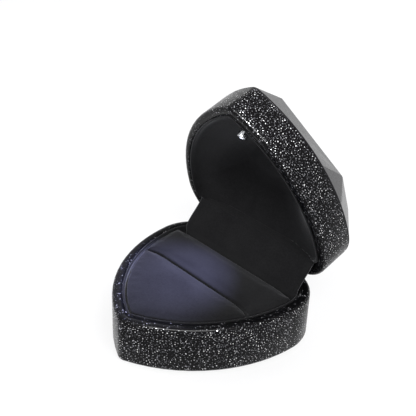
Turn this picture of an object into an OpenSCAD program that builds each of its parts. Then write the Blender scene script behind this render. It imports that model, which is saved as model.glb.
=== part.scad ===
// Heart shaped ring display box: lacquered base and lid on two small barrel hinges, velvet
// pads with a ring slot, and a lamp in the lid that a push switch turns off when it shuts.
// Millimetres, +Z up. The origin is the centre of the underside, the tip points to -Y and
// the hinges are at +Y. Lid pieces are drawn shut and then swung open by open_angle.

/* [Heart outline] */
// Length of the heart from its tip to the backs of the lobes
heart_length = 64; // [62:0.5:66]
// Radius of each lobe
lobe_r = 16; // [15.5:0.25:16.5]
// Distance of a lobe's centre from the middle plane
lobe_x = 17.2; // [16.8:0.1:17.6]
// Radius of the rounded tip
tip_r = 3.5; // [3:0.25:4]
// Radius of the long curved flanks
flank_r = 53; // [50:1:58]
// Depth of the cleft between the lobes
cleft_depth = 6; // [5:0.5:7]

/* [Base] */
// Height of the base's rim above the table
base_h = 17.2; // [16.8:0.1:17.6]
// Wall thickness of the base
base_wall = 3.4; // [3:0.1:3.6]
// Radius of the rounded outer edge of both rims
rim_r = 1.2; // [1:0.1:1.4]
// Thickness of the floor
floor_t = 1.8; // [1.5:0.1:2.2]
// Height by which the foot pad stands out of the underside
foot_stand = 0.4; // [0.3:0.1:0.6]

/* [Lid] */
// Height of the lid's glitter band, rim to girdle
band_h = 12.3; // [11.8:0.1:12.8]
// Wall thickness of the lid's band
lid_wall = 3; // [2.8:0.1:3.2]
// Height of the faceted crown above the girdle
crown_h = 10.5; // [9.5:0.25:11]
// Depth of the velvet bowl in the lid, which clears a ring's head
bowl_depth = 12.5; // [12:0.1:12.8]
// Depth inside the rim at which the lamp leaves the velvet
lamp_depth = 5; // [4.8:0.1:5.2]
// Gap between the two rims when the box is shut
rim_gap = 0.6; // [0.5:0.05:0.8]
// Angle to which the lid stands open
open_angle = 72.5; // [60:0.5:75]

/* [Pads] */
// Distance of the ring slot in front of the hinge axis
slot_from_hinge = 28.7; // [28:0.1:29.5]
// Width of the ring slot between the two pads
slot_w = 0.5; // [0.4:0.1:0.8]
// Distance of the rear pad's back edge in front of the hinge axis
pad_back_from_hinge = 12; // [11.6:0.1:13]
// Distance of the velvet hinge panel in front of the hinge axis
panel_from_hinge = 9.7; // [9.4:0.1:10]

/* [Hidden] */
$fn = 48;

black = "#17171b";
velvet = "#222228";
steel = "#b9bcc2";

// Heights, all with the box shut
hinge_z = base_h + rim_gap / 2;
lid_rim_z = base_h + rim_gap;
girdle_z = lid_rim_z + band_h;
table_z = girdle_z + crown_h;
stop_ring_z = lid_rim_z + 6.8;
shell_z = foot_stand;
floor_z = shell_z + floor_t;

// Heart outline: two lobe arcs, two flank arcs that run smoothly into them and into the
// tip arc, and a hollow arc that rounds the cleft
lobe_y = heart_length / 2 - lobe_r;
cleft_y = heart_length / 2 - cleft_depth;
lobe_c = [lobe_x, lobe_y];
cleft_r = (lobe_x ^ 2 + (cleft_y - lobe_y) ^ 2 - lobe_r ^ 2) / (2 * (lobe_r - cleft_y + lobe_y));
cleft_c = [0, cleft_y + cleft_r];
tip_c = [0, tip_r - heart_length / 2];
tip_to_lobe = lobe_c - tip_c;
span = norm(tip_to_lobe);
along = ((flank_r - tip_r) ^ 2 - (flank_r - lobe_r) ^ 2 + span ^ 2) / (2 * span);
across = sqrt((flank_r - tip_r) ^ 2 - along ^ 2);
flank_c = tip_c + (along * tip_to_lobe + across * [-tip_to_lobe.y, tip_to_lobe.x]) / span;
function heading(v) = atan2(v.y, v.x);
lobe_start = heading(lobe_c - flank_c);
lobe_end = heading(cleft_c - lobe_c);

// Hinge axis, 1 mm inside the backs of the lobes
hinge_y = heart_length / 2 - 1;
slot_y = hinge_y - slot_from_hinge;
pad_back_y = hinge_y - pad_back_from_hinge;
panel_y = hinge_y - panel_from_hinge;

// Directions, seen from an arc's centre, in which the crown's ridges meet the girdle
flank_ridges = [-32, -16];
lobe_ridges = [35, 75, 105];
// Steps of the arcs round the outline, split at the ridges
tip_n = 4;
flank_n = [7, 4, 4];
lobe_n = [7, 6, 5, 4];
cleft_n = 5;

function arc(c, r, a, b, n) =
    [for (i = [0:n - 1]) let (turn = a + (b - a) * i / n) c + r * [cos(turn), sin(turn)]];
// The same arc in stretches that end at the given directions
function arcs(c, r, ends, n) = [for (k = [0:len(n) - 1]) each arc(c, r, ends[k], ends[k + 1], n[k])];
// Centre of a tip arc of radius r on an outline that lies inset inside the outer one
function tip_centre(inset, r) = [0, flank_c.y - sqrt((flank_r - inset - r) ^ 2 - flank_c.x ^ 2)];
function flipped(points) = [for (i = [len(points) - 1:-1:0]) [-points[i].x, points[i].y]];

// Right half of the outline, from the tip round to the cleft
function half_heart(inset, tip) =
    let (tc = tip_centre(inset, tip), turn = heading(tc - flank_c))
    concat(
        arc(tc, tip, -90, turn, tip_n),
        arcs(flank_c, flank_r - inset, concat(turn, flank_ridges, lobe_start), flank_n),
        arcs(lobe_c, lobe_r - inset, concat(lobe_start, lobe_ridges, lobe_end), lobe_n),
        arc(cleft_c, cleft_r + inset, lobe_end - 180, -90, cleft_n),
        [[0, cleft_y - inset]]);
// Whole outline, anticlockwise from the tip
function heart(inset = 0, tip = tip_r) =
    let (half = half_heart(inset, tip), rest = flipped(half))
    concat(half, [for (i = [1:len(rest) - 2]) rest[i]]);

function raised(points, z) = [for (p = points) [p.x, p.y, z]];
// Quarter round from the side up to height z: pairs of inset and height
function round_up(r, z, n = 5) =
    [for (i = [0:n]) [r - r * cos(90 * i / n), z - r + r * sin(90 * i / n)]];
// The same edge turned over, from height z up to the side
function round_down(r, z, n = 5) =
    [for (i = [n:-1:0]) [r - r * cos(90 * i / n), z + r - r * sin(90 * i / n)]];

function mean(points) = [for (k = [0:2]) [for (p = points) p[k]] * [for (p = points) 1 / len(points)]];
// Closed solid through a stack of rings that all have the same number of points, each end
// closed by a fan about its own middle
module loft(rings) {
    n = len(rings[0]);
    m = len(rings);
    foot = m * n;
    head = foot + 1;
    sides = [for (i = [0:m - 2], j = [0:n - 1])
        let (a = i * n + j, b = i * n + (j + 1) % n, c = b + n, d = a + n)
        each [[a, d, c], [a, c, b]]];
    ends = [for (j = [0:n - 1]) let (k = (j + 1) % n)
        each [[j, k, foot], [(m - 1) * n + k, (m - 1) * n + j, head]]];
    polyhedron(points = concat([for (ring = rings) each ring], [mean(rings[0]), mean(rings[m - 1])]),
        faces = concat(sides, ends));
}

// Solid heart whose edge follows pairs of inset and height
module heart_loft(edge, inset = 0, tip = tip_r)
    loft([for (p = edge) raised(heart(inset + p.x, tip - p.x), p.y)]);
// Straight sided heart from height a to height b
module heart_block(inset, tip, a, b)
    translate([0, 0, a]) linear_extrude(b - a) polygon(heart(inset, tip));
module box_at(low, high) translate(low) cube(high - low);
// Everything in front of a given y
module in_front_of(y) box_at([-40, -40, -1], [40, y, 50]);

// Lid pieces are drawn shut and swung up about the hinge axis
module opened() translate([0, hinge_y, hinge_z]) rotate([-open_angle, 0, 0])
    translate([0, -hinge_y, -hinge_z]) children();

// ---- Hinges ----
leaf_w = 9;
leaf_t = 0.8;
leaf_l = 6;
barrel_r = 1;
pin_r = 0.5;
knuckle_gap = 0.1;
knuckle_w = (leaf_w - 2 * knuckle_gap) / 3;
seat_y = heart_length / 2 - 4.2;
arm_low = 0.9;
arm_in = 0.3;
leaf_foot_z = hinge_z - arm_low - leaf_l;
screw_up = 1.3;
screw_x = 2.6;
screw_r = 0.6;
screw_l = 2.6;
head_r = 1.1;
head_h = 0.6;

module at_hinges() for (side = [-1, 1]) translate([side * lobe_x, 0, 0]) children();
// Turns pieces of the base leaf over into pieces of the lid leaf
module turned_over() translate([0, 0, 2 * hinge_z]) mirror([0, 0, 1]) children();

// Rounded trough in a rim that the barrel lies in, and the step for the leaf's arm
module hinge_recess() at_hinges() {
    half = leaf_w / 2 + 0.3;
    on_axis() cylinder(r = barrel_r + 0.25, h = 2 * half, center = true);
    box_at([-half, seat_y - 2, hinge_z - barrel_r - 0.05], [half, hinge_y, hinge_z + 1]);
}
// Flat seat that the leaf is screwed to, on the curved inside of the lobe
module hinge_seat() at_hinges() {
    half = leaf_w / 2 + 0.8;
    box_at([-half, seat_y, leaf_foot_z - 1.7], [half, seat_y + 2.4, hinge_z - rim_gap]);
}
module screw_places() at_hinges() for (side = [-1, 1])
    translate([side * screw_x, seat_y - leaf_t, leaf_foot_z + screw_up]) rotate([-90, 0, 0]) children();
module screw_holes() screw_places() cylinder(r = screw_r, h = screw_l + leaf_t + 0.2, $fn = 24);
module leaf_screws() color(steel) screw_places() {
    rotate_extrude($fn = 24) polygon(concat([[0, 0]], [[head_r, 0]],
        [for (i = [0:4]) [head_r * cos(i * 22.5), -head_h * sin(i * 22.5)]]));
    cylinder(r = screw_r, h = screw_l, $fn = 24);
}
module on_axis() translate([0, hinge_y, hinge_z]) rotate([0, 90, 0]) children();
arm_top = hinge_z - arm_in;
arm_foot = hinge_z - arm_low;
// One leaf: a plate down the seat, an arm out to the axis, and its knuckles
module leaf(knuckles) at_hinges() difference() {
    union() {
        box_at([-leaf_w / 2, seat_y - leaf_t, leaf_foot_z], [leaf_w / 2, seat_y, arm_top]);
        box_at([-leaf_w / 2, seat_y - 0.1, arm_foot], [leaf_w / 2, hinge_y - barrel_r - 0.3, arm_top]);
        for (k = knuckles) translate([k * (knuckle_w + knuckle_gap), 0, 0]) {
            box_at([-knuckle_w / 2, hinge_y - barrel_r - 0.4, arm_foot], [knuckle_w / 2, hinge_y, arm_top]);
            on_axis() cylinder(r = barrel_r, h = knuckle_w, center = true, $fn = 32);
        }
    }
    on_axis() cylinder(r = pin_r + (len(knuckles) == 1 ? 0.04 : 0), h = leaf_w + 2, center = true, $fn = 32);
    for (side = [-1, 1]) translate([side * screw_x, seat_y - leaf_t - 0.5, leaf_foot_z + screw_up])
        rotate([-90, 0, 0]) cylinder(r = screw_r, h = leaf_t + 1, $fn = 24);
}
module hinge_leaves_base() color(steel) leaf([-1, 1]);
module hinge_leaves_lid() color(steel) opened() turned_over() leaf([0]);
module hinge_pins() color(steel) at_hinges() on_axis()
    cylinder(r = pin_r, h = leaf_w + 0.4, center = true, $fn = 32);
module hinge_screws_base() leaf_screws();
module hinge_screws_lid() opened() turned_over() leaf_screws();

// ---- Base ----
foot_inset = 5.5;
foot_t = 1.2;
cavity_tip = 2;
liner_t = 0.8;
bead_h = 0.2;
striker_x = 10.9;
striker_y = hinge_y - 6.4;
striker_r = 1.3;

// Moulded cup with a rounded rim, hinge seats and the post that meets the switch
module base_shell() color(black) difference() {
    union() {
        difference() {
            heart_loft(concat([[0.9, shell_z], [0.26, shell_z + 0.26], [0, shell_z + 0.9]],
                round_up(rim_r, base_h)));
            heart_block(base_wall, cavity_tip, floor_z, base_h + 1);
        }
        intersection() {
            hinge_seat();
            heart_block(base_wall / 2, cavity_tip, floor_z, base_h);
        }
        translate([striker_x, striker_y, floor_z - 0.5])
            cylinder(r = striker_r, h = base_h - floor_z + 0.5, $fn = 32);
    }
    heart_block(foot_inset - 0.15, cavity_tip, shell_z - 1, foot_t);
    hinge_recess();
    screw_holes();
}

// Velvet covered card that lines the wall and ends in a soft bead just above the rim
module base_liner() color(velvet) intersection() {
    difference() {
        heart_loft([[0.05, floor_z], [0.05, base_h - 0.05], [0.15, base_h + 0.1], [0.35, base_h + bead_h]],
            inset = base_wall, tip = cavity_tip);
        heart_loft([[0, floor_z - 1], [0, base_h - 0.4], [-0.12, base_h], [-0.35, base_h + bead_h + 0.01]],
            inset = base_wall + liner_t, tip = cavity_tip - 0.4);
    }
    in_front_of(panel_y - 0.3);
}

pad_inset = base_wall + liner_t + 0.3;
card_t = 1;
card_z = floor_z + card_t;
// Card under both pads, slotted for the ring
module pad_card() color(velvet) difference() {
    intersection() {
        heart_block(pad_inset, cavity_tip, floor_z, card_z);
        in_front_of(pad_back_y);
    }
    box_at([-14, slot_y - 1.2, 0], [14, slot_y + 1.2, 10]);
}

// Inset and height round a pad's edge: it bulges, draws in at the foot and turns over crisply
pad_edge = [[0.7, card_z], [0.15, card_z + 2], [0, base_h - 4], [0.03, base_h - 1.1], [0.15, base_h - 0.5],
    [0.45, base_h - 0.12], [1, base_h + 0.06], [2.2, base_h + 0.2], [4, base_h + 0.35], [6.5, base_h + 0.45]];
pad_side_n = 14;

// Right hand side of a pad from one y up to another, along flank and lobe
function flank_x(y, inset) = flank_c.x + sqrt((flank_r - inset) ^ 2 - (y - flank_c.y) ^ 2);
function lobe_side_x(y, inset) = lobe_c.x + sqrt((lobe_r - inset) ^ 2 - (y - lobe_c.y) ^ 2);
function side_x(y, inset) = y < lobe_c.y ? flank_x(y, inset) : lobe_side_x(y, inset);
function side_run(y0, y1, inset, n) =
    [for (i = [0:n]) let (y = y0 + (y1 - y0) * i / n) [side_x(y, inset), y]];
// Straight edge across at a given y, from x to -x and without its ends
function cross_run(x, y, n) = [for (i = [1:n - 1]) [x - 2 * x * i / n, y]];

// Outline that follows the heart from the tip to a straight back edge, and rounds its corners
function shield(inset, tip, back, corner, side_n) =
    let (tc = tip_centre(inset, tip), turn = heading(tc - flank_c), from = tc + tip * [cos(turn), sin(turn)],
        right = concat(arc(tc, tip, -90, turn, tip_n), side_run(from.y, back - corner, inset, side_n),
            [for (i = [1:3]) let (y = back - corner + corner * sin(30 * i))
                [side_x(y, inset) - corner * (1 - cos(30 * i)), y]]),
        left = flipped(right))
    concat(right, cross_run(right[len(right) - 1].x, back, side_n), [for (i = [0:len(left) - 2]) left[i]]);
function front_outline(grow) = shield(pad_inset + grow, 1.5, slot_y - slot_w / 2 - grow, 0.5, pad_side_n);
function rear_outline(grow) =
    let (y0 = slot_y + slot_w / 2 + grow, y1 = pad_back_y - grow,
        right = side_run(y0, y1, pad_inset + grow, pad_side_n), left = flipped(right))
    concat(right, cross_run(right[pad_side_n].x, y1, pad_side_n), left,
        cross_run(-right[0].x, y0, pad_side_n));

module front_pad() color(velvet) loft([for (p = pad_edge) raised(front_outline(p.x), p.y)]);
module rear_pad() color(velvet) loft([for (p = pad_edge) raised(rear_outline(p.x), p.y)]);
module foot_pad() color("#2b2b2e") heart_block(foot_inset, cavity_tip, 0, foot_t);

// ---- Velvet panel over the hinge ----
panel_t = 0.6;
panel_half_w = 27.6;
function swing(y, z) = [hinge_y + (y - hinge_y) * cos(open_angle) + (z - hinge_z) * sin(open_angle),
    hinge_z - (y - hinge_y) * sin(open_angle) + (z - hinge_z) * cos(open_angle)];
// Panel in section, front face then back face: up the base, across the gap, into the lid
panel_low = [[panel_y, floor_z], [panel_y, base_h - 1.5], [panel_y - 0.1, base_h - 0.2]];
panel_high = [[panel_y - 0.1, lid_rim_z + 0.2], [panel_y, lid_rim_z + 1.5], [panel_y, lid_rim_z + 4.7]];
module hinge_liner() color(velvet) {
    front = concat(panel_low, [for (p = panel_high) swing(p.x, p.y)]);
    back = concat([for (p = panel_low) p + [panel_t, 0]], [for (p = panel_high) swing(p.x + panel_t, p.y)]);
    translate([-panel_half_w, 0, 0]) rotate([90, 0, 90]) linear_extrude(2 * panel_half_w)
        polygon(concat(front, [for (i = [len(back) - 1:-1:0]) back[i]]));
}

// ---- Lid shell and crown ----
skirt_h = 1.5;
crown_wall = 2;
// Corners of the crown's flat table, from the tip round to the cleft
table_corners = [[0, hinge_y - 52], [23.4, hinge_y - 29], [24.3, lobe_y + 1],
    [14.5, heart_length / 2 - 7], [0, cleft_y - 9]];
// Width by which each corner is blunted
corner_cut = 0.4;

function unit(v) = v / norm(v);
function beside(k, step) = table_corners[k] + corner_cut * unit(table_corners[k + step] - table_corners[k]);
// Ends of the table's edges: one long edge for each facet between two ridges, one blunt
// corner for each facet that narrows to a point
table_ends = concat([table_corners[0], beside(0, 1)], [for (k = [1:3], step = [-1, 1]) beside(k, step)],
    [table_corners[4]]);
// Outline steps below each of those edges
facet_n = [tip_n, flank_n[0], flank_n[1], flank_n[2], lobe_n[0], lobe_n[1], lobe_n[2], lobe_n[3] + cleft_n];
half_table = concat([for (k = [0:len(facet_n) - 1], i = [0:facet_n[k] - 1])
    table_ends[k] + (table_ends[k + 1] - table_ends[k]) * i / facet_n[k]], [table_corners[4]]);
function table_outline(shrink) =
    let (middle = [0, 2], half = [for (p = half_table) middle + (p - middle) * shrink],
        rest = flipped(half))
    concat(half, [for (i = [1:len(rest) - 2]) rest[i]]);

module lid_shell() color(black) opened() difference() {
    union() {
        difference() {
            heart_loft(concat(round_down(rim_r, lid_rim_z),
                [[0, girdle_z - 0.4], [0.12, girdle_z - 0.12], [0.4, girdle_z]]));
            heart_block(lid_wall, cavity_tip, lid_rim_z - 1, girdle_z + 1);
        }
        difference() {
            heart_block(lid_wall - 0.5, cavity_tip, stop_ring_z, stop_ring_z + 1.2);
            heart_block(lid_wall + 2, 1.5, stop_ring_z - 1, stop_ring_z + 3);
        }
        intersection() {
            turned_over() hinge_seat();
            heart_block(lid_wall / 2, cavity_tip, lid_rim_z, girdle_z);
        }
    }
    turned_over() {
        hinge_recess();
        screw_holes();
    }
}

// Crown cut like a stone: flat table, four long facets a side with pointed ones between
// them, hollow inside
module lid_crown() color(black) opened() difference() {
    union() {
        loft([raised(heart(0.45, tip_r - 0.45), girdle_z), raised(heart(0.1, tip_r - 0.1), girdle_z + 0.35),
            raised(table_outline(1), table_z)]);
        heart_block(lid_wall + 0.1, cavity_tip, girdle_z - skirt_h, girdle_z + 0.4);
    }
    loft([raised(heart(lid_wall + 1.2, 1.5), girdle_z - skirt_h - 1),
        raised(heart(lid_wall + 1.2, 1.5), girdle_z), raised(table_outline(0.88), table_z - crown_wall)]);
}

// ---- Lid lining ----
// The bowl from its rim to its flat middle: inset from the band's lining, distance of the
// back edge in front of the panel, share of the depth, and rounding of the back corners
bowl_edge = [[0.1, -1, 0.03, 5], [0.5, -0.7, 0.1, 6], [1.5, -0.3, 0.17, 8], [3.5, 0, 0.25, 10],
    [6, 1.6, 0.34, 10.5], [8.3, 3.2, 0.44, 10], [10.5, 5, 0.57, 9.5], [12.5, 7, 0.71, 9],
    [14.4, 9.2, 0.84, 8.5], [16.4, 12, 0.95, 7.5], [18.4, 15, 1, 6.5]];
bowl_n = 9;
velvet_t = 0.9;
mould_t = 2.4;
// One level of the bowl or of a surface that lies behind it by t
function bowl_ring(p, t) = raised(shield(lid_wall + liner_t + p[0] - 0.6 * t, 0.5 + 0.2 * t,
    panel_y - p[1] + 0.6 * t, p[3], bowl_n), lid_rim_z + bowl_depth * p[2] + 0.8 * t);
function bowl_rings(t) = [for (p = bowl_edge) bowl_ring(p, t)];
// Levels round the bead at the rim: pairs of inset and height
function bead_rings(inset, edge) = [for (p = edge)
    raised(shield(inset + p.x, cavity_tip - p.x, panel_y + 2, 4, bowl_n), lid_rim_z + p.y)];

lamp_y = hinge_y - 50.6;
lamp_tilt = 34;
bezel_r = 1.8;
boss_h = 3.4;
nut_r = 2.9;
// Along the lamp's axis: z runs back from the nose, the origin is where it leaves the velvet
module at_lamp() translate([0, lamp_y, lid_rim_z + lamp_depth]) rotate([lamp_tilt, 0, 0]) children();

// Velvet skin: a bead at the rim and one smooth bowl
module lid_liner() color(velvet) opened() intersection() {
    difference() {
        loft(concat(bead_rings(lid_wall, [[0.35, -bead_h], [0.05, 0.05], [0.05, 1]]), bowl_rings(velvet_t)));
        loft(concat(bead_rings(lid_wall + liner_t, [[-0.35, -bead_h - 0.01], [-0.12, 0]]), bowl_rings(0)));
        at_lamp() cylinder(r = bezel_r, h = 8, center = true);
    }
    in_front_of(panel_y - 0.3);
}

// Middle of the cell's tray, middle of the board and its two posts
tray_c = [0, 0.5];
cell_r = 10;
tray_r = cell_r + 1.2;
tray_z = lid_rim_z + bowl_depth + 0.8 * mould_t;
board_c = [0, 15.9];
board_z = tray_z - 1;
post_at = [[-5, -1.9], [5, 1.9]];
module at_posts(z) for (p = post_at) translate([board_c.x + p.x, board_c.y + p.y, z]) children();
// Moulded panel behind the velvet, with its flange under the stop ring, the lamp's boss with
// a flat round it for the nut, a seat for the tray and the board's posts
module lid_panel() color("#1c1c1c") opened() difference() {
    union() {
        intersection() {
            union() {
                loft(bowl_rings(mould_t));
                heart_block(lid_wall, cavity_tip, stop_ring_z - 1.1, stop_ring_z);
            }
            heart_block(lid_wall + 0.1, cavity_tip, lid_rim_z, table_z);
            in_front_of(panel_y - 0.3);
        }
        at_lamp() cylinder(r = bezel_r + 1.6, h = boss_h);
        translate([tray_c.x, tray_c.y, tray_z - 4.5]) cylinder(r = tray_r, h = 4.5);
        at_posts(stop_ring_z + 0.4) cylinder(r = 1.3, h = board_z - stop_ring_z - 0.4, $fn = 24);
    }
    loft(bowl_rings(velvet_t));
    at_lamp() {
        cylinder(r = bezel_r + 0.02, h = 12, center = true);
        translate([0, 0, boss_h]) cylinder(r = nut_r + 0.3, h = 5);
    }
    at_posts(board_z - 1.6) cylinder(r = 0.5, h = 3, $fn = 24);
}

// ---- Lamp ----
module led_bezel() color(steel) opened() at_lamp() difference() {
    rotate_extrude() polygon([[0, -2.8], [1.5, -2.8], [bezel_r, -2.5], [bezel_r, 5.2], [0, 5.2]]);
    translate([0, 0, -4]) cylinder(r = 1.25, h = 3, $fn = 32);
    translate([0, 0, -1.4]) cylinder(r = 1.5, h = 8, $fn = 32);
}
module led_lamp() color("#eef4ff") opened() at_lamp() {
    rotate_extrude($fn = 32) polygon(concat([[0, -3]],
        [for (i = [1:6]) [1.2 * sin(15 * i), -1.8 - 1.2 * cos(15 * i)]],
        [[1.2, -1.3], [1.45, -1.3], [1.45, 2], [0, 2]]));
    for (side = [-1, 1]) translate([side * 0.6, 0, 1.9]) cylinder(r = 0.25, h = 4, $fn = 16);
}
module led_nut() color(steel) opened() at_lamp() translate([0, 0, boss_h]) difference() {
    cylinder(r = nut_r, h = 1.2, $fn = 6);
    translate([0, 0, -1]) cylinder(r = bezel_r, h = 4);
}

// ---- Circuit board, cell and wires ----
board_t = 0.8;
module circuit_board() color("#1f6b45") opened() difference() {
    translate([board_c.x, board_c.y, board_z + board_t / 2]) cube([14, 7, board_t], center = true);
    at_posts(board_z - 1) cylinder(r = 0.6, h = 3, $fn = 24);
}
module resistor() color("#262626") opened() translate([board_c.x, board_c.y, board_z + board_t])
    box_at([-1, -0.6, 0], [1, 0.6, 0.5]);
module board_screws() color(steel) opened() at_posts(board_z + board_t) {
    rotate_extrude($fn = 24) polygon([[0, 0], [1.1, 0], [1, 0.4], [0.6, 0.6], [0, 0.65]]);
    translate([0, 0, -board_t - 1.2]) cylinder(r = 0.5, h = board_t + 1.3, $fn = 24);
}

cell_h = 3.2;
// Round tray for the cell, on its seat behind the bowl
module battery_tray() color("#2a2a2a") opened() translate([tray_c.x, tray_c.y, tray_z]) difference() {
    cylinder(r = tray_r, h = 3.4);
    translate([0, 0, 0.8]) cylinder(r = cell_r + 0.1, h = 5);
    box_at([-3, -15, 0.8], [3, -6, 6]);
}
module coin_cell() color("#d0d2d6") opened() translate([tray_c.x, tray_c.y, tray_z + 0.8])
    rotate_extrude() polygon([[0, 0], [cell_r - 1.2, 0], [cell_r - 1.2, 0.25], [cell_r - 0.3, 0.25],
        [cell_r, 0.6], [cell_r, cell_h - 0.3], [cell_r - 0.3, cell_h], [0, cell_h]]);
// Sprung strip over the cell, hooked down the side of the tray
module battery_clip() color(steel) opened() translate([tray_c.x, tray_c.y, tray_z + 0.8 + cell_h]) {
    box_at([-2, -4, 0], [2, tray_r + 0.3, 0.3]);
    box_at([-2, tray_r, -3.4], [2, tray_r + 0.3, 0.1]);
}

// Tube of eight sides along a route. Each ring's first corner is carried on from the ring
// before it, so the tube doesn't twist.
function course(route, i) = unit(route[min(i + 1, len(route) - 1)] - route[max(i - 1, 0)]);
function carried(route, before, i = 0) = i == len(route) ? []
    : let (d = course(route, i), s = unit(before - (before * d) * d)) concat([s], carried(route, s, i + 1));
module wire(route, r) {
    firsts = carried(route, unit([1, 0.6, 0.2]));
    loft([for (i = [0:len(route) - 1]) let (s = firsts[i], t = cross(course(route, i), s))
        [for (k = [0:7]) route[i] + r * (cos(45 * k) * s + sin(45 * k) * t)]]);
}
wire_r = 0.4;
module wires(routes) for (route = routes) wire(route, wire_r);
// Point in the lamp's axis frame, x across and s back from the velvet
function on_lamp(x, s) = [x, lamp_y - s * sin(lamp_tilt), lid_rim_z + lamp_depth + s * cos(lamp_tilt)];
// Point beside the tray, at a direction and a distance from its wall
function by_tray(turn, gap, z) =
    [tray_c.x + (tray_r + gap) * cos(turn), tray_c.y + (tray_r + gap) * sin(turn), z];
pad_z = board_z + board_t;

// From the lamp's two legs along the left side to the board
module lamp_wires() color("#b03030") opened() wires([
    [on_lamp(-0.6, 5.9), on_lamp(-0.6, 6.8), [-2, -23.1, 29.7], [-4.5, -20.8, 30.2], [-9, -16.6, 30.6],
        [-14.5, -9.5, 30.3], [-17.6, -1, 29.8], [-19, 6, 29.7], [-17, 11.6, 30.4], [-12.5, 15.2, 31.7],
        [-8.4, 16.4, 32.9], [-6.2, 16.4, 33], [-6.2, 16.4, pad_z]],
    [on_lamp(0.6, 5.9), on_lamp(0.6, 6.8), [-0.6, -23, 30.3], [-3.6, -20.2, 30.8], [-8.3, -15.9, 31.2],
        [-13.8, -8.8, 31], [-16.8, -0.6, 30.7], [-18, 6, 30.7], [-16.4, 12.4, 31.4], [-12.4, 16.4, 32.4],
        [-8.4, 17.8, 33], [-6.2, 17.8, 33], [-6.2, 17.8, pad_z]]]);
// From the tray's two contacts down to the board
module battery_wires() color("#303030") opened() wires([
    [by_tray(68, 0, 33.6), by_tray(68, 0.8, 33.6), [4.5, 12.4, 33.5], [4.5, 13.2, 33.2], [4.5, 13.6, 32.7],
        [4.5, 13.6, pad_z]],
    [by_tray(60, 0, 34.4), by_tray(60, 0.8, 34.4), [6, 11.8, 34.2], [6.1, 12.8, 33.6], [6.1, 13.4, 32.9],
        [6.1, 13.4, pad_z]]]);
// From the switch past the cleft to the board
module switch_wires() color("#d8d8d0") opened() wires([
    [[10.6, 23.7, stop_ring_z], [10.6, 23.7, 25.8], [10.2, 22.8, 27.4], [9.4, 20.9, 29.6], [8.8, 18.6, 31.6],
        [8, 16.9, 32.8], [6.3, 16, 33], [6.3, 16, pad_z]],
    [[11.8, 23.7, stop_ring_z], [11.8, 23.7, 25.8], [11.4, 22.8, 27.4], [10.6, 20.7, 29.7], [9.8, 17.8, 31.6],
        [8.4, 15.3, 32.8], [6.3, 14.8, 33], [6.3, 14.8, pad_z]]]);

// ---- Lid switch ----
plunger_r = 0.7;
plunger_travel = 1;
plunger_out_z = base_h + 0.05 - plunger_travel;
body_z = lid_rim_z + 2.4;
module switch_body() color("#202024") opened() difference() {
    box_at([striker_x - 1.8, striker_y - 1.4, body_z], [striker_x + 1.8, striker_y + 1.4, stop_ring_z]);
    translate([striker_x, striker_y, body_z - 1]) cylinder(r = plunger_r + 0.05, h = 4.6, $fn = 32);
}
module switch_plunger() color("#e6e6e0") opened() translate([striker_x, striker_y, plunger_out_z])
    rotate_extrude($fn = 32)
        polygon([[0, 0], [0.35, 0], [0.6, 0.15], [plunger_r, 0.4], [plunger_r, 5.2], [0, 5.2]]);

base_shell();
base_liner();
pad_card();
front_pad();
rear_pad();
foot_pad();
hinge_leaves_base();
hinge_pins();
hinge_screws_base();
hinge_liner();
lid_shell();
lid_crown();
lid_panel();
lid_liner();
hinge_leaves_lid();
hinge_screws_lid();
led_bezel();
led_lamp();
led_nut();
circuit_board();
resistor();
board_screws();
battery_tray();
coin_cell();
battery_clip();
lamp_wires();
battery_wires();
switch_wires();
switch_body();
switch_plunger();
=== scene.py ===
import math
from contextlib import contextmanager

import bmesh
import bpy
import numpy as np
from mathutils import Matrix, Vector


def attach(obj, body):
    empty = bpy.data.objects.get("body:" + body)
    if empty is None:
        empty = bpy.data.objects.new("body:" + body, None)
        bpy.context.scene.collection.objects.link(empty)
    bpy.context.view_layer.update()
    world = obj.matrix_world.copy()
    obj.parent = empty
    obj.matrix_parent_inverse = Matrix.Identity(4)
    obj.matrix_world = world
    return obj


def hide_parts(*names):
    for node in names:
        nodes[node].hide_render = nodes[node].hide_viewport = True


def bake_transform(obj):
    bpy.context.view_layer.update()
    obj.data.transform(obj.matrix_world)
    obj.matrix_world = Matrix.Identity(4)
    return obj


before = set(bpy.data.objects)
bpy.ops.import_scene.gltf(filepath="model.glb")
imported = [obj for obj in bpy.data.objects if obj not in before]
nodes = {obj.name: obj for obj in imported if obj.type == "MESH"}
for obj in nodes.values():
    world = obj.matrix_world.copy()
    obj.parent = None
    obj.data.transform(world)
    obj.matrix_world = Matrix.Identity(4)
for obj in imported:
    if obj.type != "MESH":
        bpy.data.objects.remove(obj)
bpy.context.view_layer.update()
MM = 0.001

# ---- Camera and studio ----
# The box stands on a pale table in plain, level light. The camera looks down from the front
# right, at the angle and with the long lens of a product photograph.
camera_place = Vector((181.3, -171.1, 194.4)) * MM
camera_turn = math.radians(45.78)
camera_tilt = math.radians(30.74)
camera_roll = math.radians(2.40)
ahead = Vector((-math.sin(camera_turn) * math.cos(camera_tilt), math.cos(camera_turn) * math.cos(camera_tilt),
                -math.sin(camera_tilt)))
level_right = Vector((math.cos(camera_turn), math.sin(camera_turn), 0))
level_up = level_right.cross(ahead)
right = level_right * math.cos(camera_roll) + level_up * math.sin(camera_roll)
up = level_up * math.cos(camera_roll) - level_right * math.sin(camera_roll)
camera = bpy.data.objects.new("camera", bpy.data.cameras.new("camera"))
bpy.context.collection.objects.link(camera)
camera.matrix_world = Matrix.Translation(camera_place) @ Matrix((right, up, -ahead)).transposed().to_4x4()
focal_share = 900 / 416  # focal length over sensor width
camera.data.sensor_width = 36
camera.data.lens = focal_share * camera.data.sensor_width
camera.data.clip_start = 0.01
bpy.context.scene.camera = camera


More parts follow.
